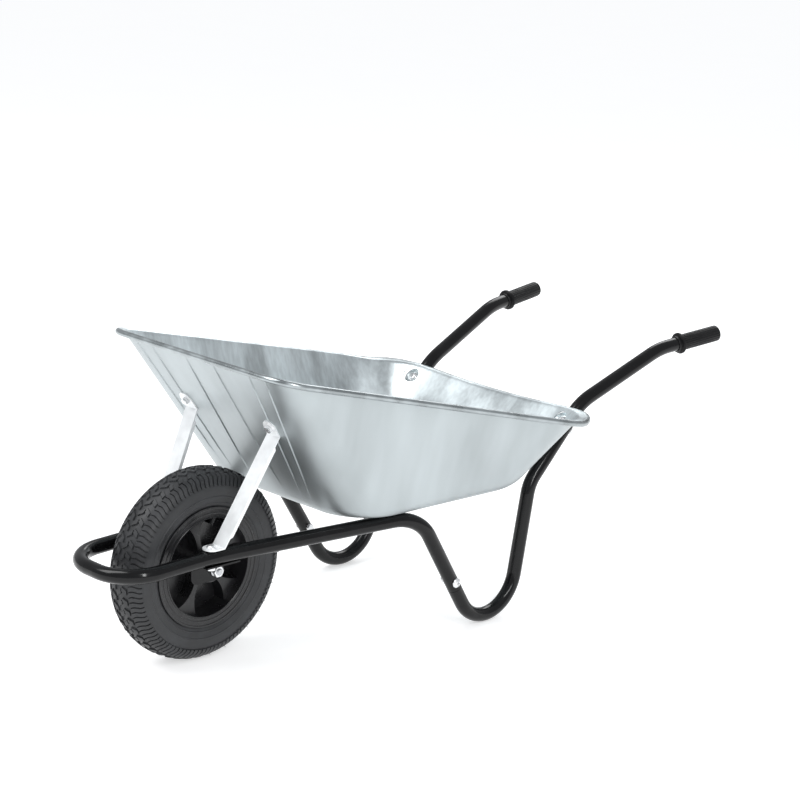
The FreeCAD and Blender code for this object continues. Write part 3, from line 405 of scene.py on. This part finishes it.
def outline(corners, radii, level, front_parts, seam):
    """A rounded quad seen from above: points and the way out at each, front left corner first.

    corners are (x, y) pairs; level gives z from x; front_parts are places across the front from -1 to 1.
    """
    count = 12
    points = []
    ends = []
    for place, corner in enumerate(corners):
        here = Vector(corner)
        back = (Vector(corners[place - 1]) - here).normalized()
        ahead = (Vector(corners[(place + 1) % 4]) - here).normalized()
        half = back.angle(ahead) / 2
        reach = radii[place] / math.tan(half)
        centre = here + (back + ahead).normalized() * (radii[place] / math.sin(half))
        ends.append((here + back * reach, here + ahead * reach, centre))
    for place, (enter, leave, centre) in enumerate(ends):
        first = math.atan2(enter.y - centre.y, enter.x - centre.x)
        last = math.atan2(leave.y - centre.y, leave.x - centre.x)
        span = (last - first) % (2 * math.pi)
        for step in range(count + 1):
            angle = first + span * step / count
            way = Vector((math.cos(angle), math.sin(angle)))
            points.append((centre + way * radii[place], way))
        begin, finish = leave, ends[(place + 1) % 4][0]
        out = Vector(((finish - begin).y, -(finish - begin).x)).normalized()
        if place == 3:
            parts = [(1 + part) / 2 for part in front_parts[1:-1]]
        else:
            parts = [step / seam for step in range(1, seam)]
        points += [(blend(begin, finish, part), out) for part in parts]
    return [(Vector((point.x, point.y, level(point.x))), Vector((way.x, way.y, 0))) for point, way in points]


def rib_places(row):
    """Places across the front wall with close points at each rib; row is 0 at the top and 1 at the bottom."""
    spots = {0.0: 0.0, 1.0: 0.0}
    for top, bottom in RIBS:
        middle = blend(top, bottom, row)
        width = blend(0.0125, 0.0175, row)
        for step, height in ((-3, 0.0), (-2, 0.0), (-1, 0.6), (0, 1.0), (1, 0.6), (2, 0.0), (3, 0.0)):
            spots[middle + width * step / 2] = height
    ahead = sorted(spots.items())
    behind = [(-place, height) for place, height in reversed(ahead) if place > 0]
    return behind + ahead


def rim_lift(point):
    """How far the rear of the rim is pulled up over the handle tubes."""
    x = (point.x - AXLE.x) / MM
    y = min(abs(point.y) / MM, 200.0)
    return (3.5 + 6.5 * (y / 190.0) ** 2) * MM * smooth(670.0, 745.0, -x)


def rim_plane(x):
    """Height of the rim's sloping plane."""
    return RIM_HEIGHT + RIM_SLOPE * x


def pan_rings(sizes):
    """Rings of the outside of the pan, from the floor to the end of the rolled rim."""
    floor = [(-186.0, 214.0), (-626.0, 229.0), (-626.0, -229.0), (-186.0, -214.0)]
    wall = [(6.0, 233.5), (-736.5, 312.9), (-736.5, -312.9), (6.0, -233.5)]
    bead = [(14.0, 240.7), (-755.0, 322.9), (-755.0, -322.9), (14.0, -240.7)]
    floor_radii, rim_radii = (105.0, 95.0, 95.0, 105.0), (56.0, 128.0, 128.0, 56.0)
    run_in = 27.0
    seam = 14
    low_rings = []
    for step in range(8):
        part = step / 7
        inset = (1 - part) ** 2 * run_in
        rise = part ** 2 * run_in * 0.8
        corners, radii = [], []
        for low, high, low_radius, high_radius in zip(floor, wall, floor_radii, rim_radii):
            share = rise / (rim_plane(high[0]) - FLOOR_HEIGHT)
            x, y = blend(Vector(low), Vector(high), share)
            corners.append((x + (inset if x < -400 else -inset), y - math.copysign(inset, y)))
            radii.append(blend(low_radius, high_radius, share) - inset)
        places = [place for place, _ in rib_places(1.0)]
        low_rings.append(outline(corners, radii, lambda x: FLOOR_HEIGHT + rise, places, seam))
    middle = low_rings[0]
    centre = Vector((-406.0, 0, FLOOR_HEIGHT))
    flat = [[(blend(centre, point, part), way) for point, way in middle] for part in (0.35, 0.93)]
    top_places = rib_places(0.0)
    top = outline(wall, rim_radii, rim_plane, [place for place, _ in top_places], seam)
    rib_heights = [0.0] * (len(top) - len(top_places) + 2) + [height for _, height in top_places[1:-1]]
    bottom = low_rings[-1]
    rings = [[point for point, _ in ring] for ring in flat + low_rings]
    for step in range(1, 15):
        part = step / 14
        swell = smooth(0.06, 0.24, part) * smooth(1.0, 0.955, part)
        ring = []
        for (low, _), (high, way), rib in zip(bottom, top, rib_heights):
            face = Vector((0.82, 0, -0.57)) if way.x > 0.9 else way
            ring.append(blend(low, high, part * 0.985) + face * (rib * swell * sizes.rib_height / MM))
        rings.append(ring)
    line = outline(bead, rim_radii, rim_plane, [place for place, _ in top_places], seam)
    radius = sizes.rim_bead / MM
    up = Vector((0, 0, 1))
    rings.append([blend(high, edge, 0.10) + up * (radius * 0.55) for (high, _), (edge, _) in zip(top, line)])
    rings.append([blend(high, edge, 0.30) + up * (radius * 0.86) for (high, _), (edge, _) in zip(top, line)])
    for degrees in (100, 70, 40, 10, -20, -50, -80, -110, -140, -170, -200, -230):
        angle = math.radians(degrees)
        rings.append([edge + (way * math.cos(angle) + up * math.sin(angle)) * radius for edge, way in line])
    return rings


def build_pan(sizes, colours):
    rings = [[at(*point) for point in ring] for ring in pan_rings(sizes)]
    count = len(rings)
    for row, ring in enumerate(rings):
        share = smooth(10, count - 14, row)
        for point in ring:
            point.z += rim_lift(point) * share
    pan = loops("pan_pressing", rings, cap_first=True)
    floor = min(pan.data.polygons, key=lambda face: face.center.z)
    if floor.normal.z > 0:
        pan.data.flip_normals()
    rim = zinc_rim(colours)
    # the second finish, on the inside of the pan, carries painted reflection bands and a painted lighter tone
    dress(pan, zinc_outside(colours), zinc_inside_with_painted_reflection(colours), rim, rim)
    ring_size = len(rings[0])
    for face in pan.data.polygons:
        if min(face.vertices) // ring_size >= count - 12:
            face.material_index = 2
    modifier(pan, "SOLIDIFY", thickness=sizes.sheet, offset=-1.0, material_offset=1, material_offset_rim=0)
    run = Vector((-129.0, 0, 137.0)).normalized()
    out = Vector((run.z, 0, -run.x))
    cutters = []
    for side in (1, -1):
        bolt = at(*REAR_BOLT, side)
        cutters.append(turned("seat_cutter", [(0.0163, 0.0), (0.0163, 0.05)], 40, bolt + out * 0.010, out))
        near, far = (at(*place, side) for place in HANDLE_UNDER_RIM)
        cutters.append(turned("tube_cutter", [(0.0139, 0.0), (0.0139, (far - near).length)], 40, near,
                              (far - near).normalized()))
    for cutter in cutters:
        modifier(pan, "BOOLEAN", operation="DIFFERENCE", object=cutter, solver="EXACT")
        bpy.data.objects.remove(cutter)
    rounded(pan, 38)
    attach(pan, BODY)
    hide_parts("pan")
    seats = []
    for side in (1, -1):
        bolt = at(*REAR_BOLT, side) + out * 0.01362
        profile = [(0.0045, 0.0), (0.0118, 0.0), (0.0135, 0.0008), (0.0152, 0.0035), (0.0175, 0.0046),
                   (0.0178, 0.0040), (0.0157, 0.0024), (0.0142, -0.0001), (0.0045, -0.0001)]
        seats.append(turned("pan_seat", [(r, h + 0.0015) for r, h in profile], 48, bolt, out, closed=True))
    seat = joined("pan_bolt_seats", seats)
    # the seats take the inside finish with its painted reflection bands
    dress(seat, pan.data.materials[1])
    rounded(seat, 40)
    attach(seat, BODY)


# ------------------------------------------------------------------ the tyre


def section_table(radius):
    """Half of the tyre's outside from the crown to the widest point: (length, y, r, normal y, normal r)."""
    ring, wide, power = 137.0, 40.0, 2.3
    spots = []
    for step in range(61):
        angle = math.pi / 2 * step / 60
        spots.append((wide * math.sin(angle) ** (2 / power),
                      ring + (radius - ring) * math.cos(angle) ** (2 / power)))
    rows = []
    length = 0.0
    for index, (y, r) in enumerate(spots):
        if index:
            length += math.hypot(y - spots[index - 1][0], r - spots[index - 1][1])
        before, after = spots[max(0, index - 1)], spots[min(60, index + 1)]
        dy, dr = after[0] - before[0], after[1] - before[1]
        size = math.hypot(dy, dr)
        rows.append((length, y, r, -dr / size, dy / size))
    return rows


def on_tyre(table, along, across, height):
    """A point on the tyre: millimetres around the crown, across the section and out from the surface."""
    side = math.copysign(1, across)
    reach = abs(across)
    index = max(1, next((i for i, row in enumerate(table) if row[0] >= reach), len(table) - 1))
    low, high = table[index - 1], table[index]
    part = min(1.0, (reach - low[0]) / (high[0] - low[0]))
    _, y, r, ny, nr = (blend(a, b, part) for a, b in zip(low, high))
    radius = (r + nr * height) * MM
    angle = along / CROWN_RADIUS
    across_axle = side * (y + ny * height) * MM
    return AXLE + Vector((radius * math.cos(angle), across_axle, radius * math.sin(angle)))


def lug(name, table, path, half_width, across_steps, depth):
    """A tread block: its middle follows a path of (around, across), with a width around the tyre."""
    bpy.ops.object.select_all(action="DESELECT")
    bpy.ops.mesh.primitive_grid_add(x_subdivisions=2, y_subdivisions=across_steps, size=2.0,
                                    location=(0, 0, 0))
    block = bpy.context.object
    block.name = name
    bpy.ops.object.mode_set(mode="EDIT")
    bpy.ops.mesh.select_all(action="SELECT")
    bpy.ops.mesh.extrude_region_move(TRANSFORM_OT_translate={"value": (0, 0, 1)})
    bpy.ops.object.mode_set(mode="OBJECT")
    for vertex in block.data.vertices:
        part = (vertex.co.y + 1) / 2
        top = vertex.co.z > 0.5
        narrow = 0.86 if top else 1.06
        pull = (0.94 if top else 1.0) * (part - 0.5) + 0.5
        around, across = path(pull)
        vertex.co = on_tyre(table, around + vertex.co.x * half_width(part) * narrow, across,
                            depth if top else -1.2)
    only(block)
    bpy.ops.object.mode_set(mode="EDIT")
    bpy.ops.mesh.select_all(action="SELECT")
    bpy.ops.mesh.normals_make_consistent(inside=False)
    bpy.ops.object.mode_set(mode="OBJECT")
    return block


def build_tyre(sizes, colours):
    depth = sizes.tread_depth / MM
    base = 174.8 - depth
    table = section_table(base)
    half = [(row[2], row[1]) for row in table]
    lower = [(134.0, 40.0), (131.0, 39.85), (130.2, 40.5), (129.2, 40.5), (128.4, 39.6), (124.0, 38.6),
             (119.0, 37.2), (118.2, 37.6), (117.2, 37.4), (116.6, 36.4), (113.6, 35.4), (111.6, 34.6),
             (110.2, 33.4), (109.0, 31.0)]
    side = half[::2] + lower
    inner = [(109.0, 20.0), (118.0, 30.0), (137.0, 35.0), (155.0, 30.0), (163.0, 15.0)]
    profile = side + inner
    loop = [(r, y) for r, y in profile] + [(r, -y) for r, y in reversed(profile) if y > 0.01]
    tyre = turned("tyre_casing", [(r * MM, y * MM) for r, y in loop], 144, AXLE, Vector((0, 1, 0)),
                  closed=True)
    pitches = sizes.tread_pitches
    pitch = 2 * math.pi * CROWN_RADIUS / pitches
    blocks = []
    for side in (1, -1):
        shift = 0.0 if side > 0 else pitch * 0.5
        centre = lambda p, s=side, d=shift: (d + pitch * (0.10 + 0.34 * p), s * (1.6 + 9.6 * p))
        blocks.append(lug("lug_centre", table, centre, lambda p: pitch * 0.23, 2, depth))
        ahead = lambda p, s=side, d=shift: (d + pitch * (0.62 - 0.30 * p), s * (12.6 + 9.6 * p))
        blocks.append(lug("lug_middle", table, ahead, lambda p: pitch * 0.22, 2, depth))
        for start in (0.0, 0.5):
            outer = lambda p, s=side, d=shift, o=start: (
                d + pitch * (o + 0.12 + 0.10 * math.sin(p * 5.6)), s * (24.0 + 25.0 * p))
            blocks.append(lug("lug_shoulder", table, outer, lambda p: pitch * blend(0.222, 0.200, p), 8,
                              depth * 0.85))
    unit = joined("tread_unit", blocks)
    turns = []
    for step in range(pitches):
        matrix = (Matrix.Translation(AXLE) @ Matrix.Rotation(2 * math.pi * step / pitches, 4, "Y")
                  @ Matrix.Translation(-AXLE))
        turns.append(copy_of(unit, "tread_turn", matrix))
    bpy.data.objects.remove(unit)
    tread = joined("tyre_tread", turns)
    black = rubber("tyre_rubber", colours.tyre, 0.50, 0.42)
    hairs = []
    for step in range(26):
        angle = 2 * math.pi * step * 0.381966
        for reach in (33.0, 44.0):
            around = CROWN_RADIUS * (angle + reach * 0.013)
            root = on_tyre(table, around, reach, 0)
            tip = on_tyre(table, around, reach, 1)
            way = (tip - root).normalized()
            hairs.append(turned("hair", [(0.0005, -0.001), (0.00045, 0.003), (0.0003, 0.0065)], 6, root, way))
    whisker = joined("tyre_hairs", hairs)
    for piece, degrees in ((tyre, 30), (tread, 28), (whisker, 60)):
        dress(piece, black)
        rounded(piece, degrees)
        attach(piece, WHEEL)
    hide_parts("tyre")


# ------------------------------------------------------------------ wheel trim


def build_wheel_trim(colours):
    """Moulded steps and a hub collar on both faces of the wheel."""
    rings = []
    face = 35.9
    for side in (1, -1):
        way = Vector((0, side, 0))
        for radius, rise, width in ((108.4, 1.3, 2.0), (99.0, 0.9, 1.5), (91.2, 1.4, 1.3)):
            profile = [(radius - width, -0.6), (radius - width, rise * 0.6), (radius - width * 0.5, rise),
                       (radius + width * 0.5, rise), (radius + width, rise * 0.6), (radius + width, -0.6)]
            profile = [(r * MM, (face + h) * MM) for r, h in profile]
            rings.append(turned("step", profile, 120, AXLE, way, closed=True))
        profile = [(15.5, 43.0), (15.5, 45.2), (17.0, 46.0), (22.5, 46.0), (24.6, 44.8), (24.6, 43.0)]
        rings.append(turned("step", [(r * MM, h * MM) for r, h in profile], 64, AXLE, way, closed=True))
    trim = joined("wheel_steps", rings)
    dress(trim, plastic("wheel_step_plastic", colours.hub, 0.24))
    rounded(trim, 40)
    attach(trim, WHEEL)


# ------------------------------------------------------------------ grips


def build_grips(sizes):
    black = rubber("grip_rubber", (0.003, 0.003, 0.0035), 0.45)
    flutes, groove = 20, 0.0009
    for side, name in ((1, "left"), (-1, "right")):
        end = at(*GRIP_END, side)
        way = (end - at(*WRIST, side)).normalized()
        r = sizes.grip_radius
        profile = [(0.01348, -0.112), (r - 0.0006, -0.112), (r, -0.1112), (r, -0.1045), (0.0190, -0.1032),
                   (0.0209, -0.1018), (0.0209, -0.1000), (0.0190, -0.0984), (r + 0.0004, -0.0972)]
        profile += [(r + 0.0004, -0.0952), (r + 0.0006, -0.0940), (r + 0.0006, -0.0060),
                    (r + 0.0005, -0.0045), (r + 0.0005, -0.0018), (r - 0.0010, -0.0004), (r - 0.0035, 0.0),
                    (0.0040, 0.0), (0.0030, -0.0010)]
        grip = turned(f"grip_{name}_rubber", profile, flutes * 6, end, way)
        level = way.rotation_difference(Vector((0, 0, 1))).to_matrix()
        for vertex in grip.data.vertices:
            spot = level @ (vertex.co - end)
            if -0.0945 < spot.z < -0.0055:
                part = (math.atan2(spot.y, spot.x) / (2 * math.pi) * flutes + 0.25) % 1.0
                pull = 1 - groove / r if part > 0.62 else 1.0
                vertex.co = end + level.inverted() @ Vector((spot.x * pull, spot.y * pull, spot.z))
        dress(grip, black)
        rounded(grip, 32)
        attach(grip, BODY)
        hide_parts(f"grip_{name}")


# ------------------------------------------------------------------ frame, wheel and fasteners


def build_finishes(colours):
    coat = frame_coat(colours)
    stay = bright_zinc("stay_zinc", (0.90, 0.92, 0.93), 0.30, 0.38, 0.25)
    bolt = bright_zinc("bolt_zinc", (0.82, 0.83, 0.84), 0.16, 0.30)
    steel = bright_zinc("axle_steel", (0.55, 0.56, 0.58), 0.25, 0.40)
    paints = {
        "black_powder_coat": coat,
        "bright_zinc": bolt,
        "axle_steel": steel,
        "tyre_rubber": rubber("tube_rubber", colours.tyre),
        "inner_rubber": rubber("valve_rubber", (0.02, 0.02, 0.02)),
        "grip_rubber": coat,
        "galvanised_sheet": stay,
        "wheel_plastic": plastic("wheel_plastic", colours.hub, 0.28),
        "bush_plastic": plastic("bush_plastic", (0.70, 0.69, 0.64), 0.4),
        "cap_plastic": plastic("cap_plastic", (0.02, 0.02, 0.022), 0.3),
    }
    slots = {item["node"]: item["material_slot"] for item in frame["record"]["subparts"]}
    for node, item in NODES.items():
        paint = stay if node.startswith("front_stay") else paints[slots[node]]
        for slot in item.material_slots:
            slot.material = paint


# ------------------------------------------------------------------ stage


def build_stage():
    bpy.ops.object.select_all(action="DESELECT")
    bpy.ops.mesh.primitive_plane_add(size=90.0, location=(0, 0, 0))
    floor = bpy.context.object
    floor.name = "studio_floor"
    paint = Paint("floor_white", Roughness=0.9, Specular_IOR_Level=0.0, Emission_Color=(1, 1, 1, 1),
                  Emission_Strength=0.52)
    grain = paint.noise(3.0)
    paint.feed("Base Color", paint.mix(grain, (0.83, 0.83, 0.83, 1), (0.85, 0.85, 0.85, 1)))
    dress(floor, paint.material)
    scene = bpy.context.scene
    scene.view_settings.view_transform = "Standard"
    world = bpy.data.worlds.new("studio")
    scene.world = world
    world.use_nodes = True
    sky = world.node_tree.nodes["Background"].inputs
    sky["Color"].default_value = (0.95, 0.97, 1.0, 1)
    sky["Strength"].default_value = 0.55
    lights = (("key", (2.0, -1.0, 3.2), 1.6, 2.6, 75.0), ("strip", (1.4, 3.6, 2.6), 0.35, 3.0, 70.0),
              ("back", (-3.0, -1.6, 3.0), 2.0, 2.0, 45.0))
    for name, place, width, length, power in lights:
        bpy.ops.object.light_add(type="AREA", location=place)
        lamp = bpy.context.object
        lamp.name = f"light_{name}"
        lamp.data.shape = "RECTANGLE"
        lamp.data.size = width
        lamp.data.size_y = length
        lamp.data.energy = power
        lamp.rotation_euler = (Vector((0, 0, 0.3)) - Vector(place)).to_track_quat("-Z", "Y").to_euler()
    forward = Vector((-0.67707, -0.68807, -0.26103)).normalized()
    level = forward.cross(Vector((0, 0, 1))).normalized()
    roll = math.radians(2.3)
    right = level * math.cos(roll) + level.cross(forward) * math.sin(roll)
    up = right.cross(forward)
    bpy.ops.object.camera_add(location=(2.8440, 2.9310, 1.5049))
    camera = bpy.context.object
    camera.name = "studio_camera"
    turn = Matrix((right, up, -forward)).transposed()
    camera.rotation_euler = turn.to_euler()
    camera.data.lens = 101.69
    camera.data.sensor_width = 36.0
    camera.data.shift_x = (400.0 - 397.8) / 800.0
    camera.data.shift_y = (400.6 - 400.0) / 800.0
    camera.data.clip_end = 200.0
    scene.camera = camera


# ------------------------------------------------------------------ operators and panel


class BARROW_OT_pan(bpy.types.Operator):
    """Builds the pressed pan with its ribs, rolled rim and bolt seats"""

    bl_idname = "barrow.pan"
    bl_label = "Pan"

    def execute(self, context):
        build_pan(context.scene.barrow_sizes, context.scene.barrow_colours)
        return {"FINISHED"}


class BARROW_OT_tyre(bpy.types.Operator):
    """Builds the tyre's casing, tread and moulding hairs"""

    bl_idname = "barrow.tyre"
    bl_label = "Tyre"

    def execute(self, context):
        build_tyre(context.scene.barrow_sizes, context.scene.barrow_colours)
        return {"FINISHED"}


class BARROW_OT_wheel_trim(bpy.types.Operator):
    """Builds the moulded steps of the wheel"""

    bl_idname = "barrow.wheel_trim"
    bl_label = "Wheel steps"

    def execute(self, context):
        build_wheel_trim(context.scene.barrow_colours)
        return {"FINISHED"}


class BARROW_OT_grips(bpy.types.Operator):
    """Builds the two fluted grips"""

    bl_idname = "barrow.grips"
    bl_label = "Grips"

    def execute(self, context):
        build_grips(context.scene.barrow_sizes)
        return {"FINISHED"}


class BARROW_OT_finishes(bpy.types.Operator):
    """Gives the tubes, stays, wheel and fasteners their finishes"""

    bl_idname = "barrow.finishes"
    bl_label = "Finishes"

    def execute(self, context):
        build_finishes(context.scene.barrow_colours)
        return {"FINISHED"}


class BARROW_OT_stage(bpy.types.Operator):
    """Lays the floor, hangs the lights and sets the camera"""

    bl_idname = "barrow.stage"
    bl_label = "Stage"

    def execute(self, context):
        build_stage()
        return {"FINISHED"}


class BARROW_PT_panel(bpy.types.Panel):
    """Lists the wheelbarrow's pieces"""

    bl_idname = "BARROW_PT_panel"
    bl_label = "Wheelbarrow"
    bl_space_type = "VIEW_3D"
    bl_region_type = "UI"
    bl_category = "Barrow"

    def draw(self, context):
        for operator in OPERATORS:
            self.layout.operator(operator.bl_idname)
        for group in (context.scene.barrow_sizes, context.scene.barrow_colours):
            for key in group.__annotations__:
                self.layout.prop(group, key)


OPERATORS = (BARROW_OT_finishes, BARROW_OT_pan, BARROW_OT_tyre, BARROW_OT_wheel_trim, BARROW_OT_grips,
             BARROW_OT_stage)
CLASSES = (BarrowSizes, BarrowColours) + OPERATORS + (BARROW_PT_panel,)


def register():
    for item in CLASSES:
        bpy.utils.register_class(item)
    bpy.types.Scene.barrow_sizes = bpy.props.PointerProperty(type=BarrowSizes)
    bpy.types.Scene.barrow_colours = bpy.props.PointerProperty(type=BarrowColours)


def unregister():
    del bpy.types.Scene.barrow_colours
    del bpy.types.Scene.barrow_sizes
    for item in reversed(CLASSES):
        bpy.utils.unregister_class(item)


def main():
    register()
    for operator in ("finishes", "pan", "tyre", "wheel_trim", "grips", "stage"):
        getattr(bpy.ops.barrow, operator)()


if __name__ == "__main__":
    main()
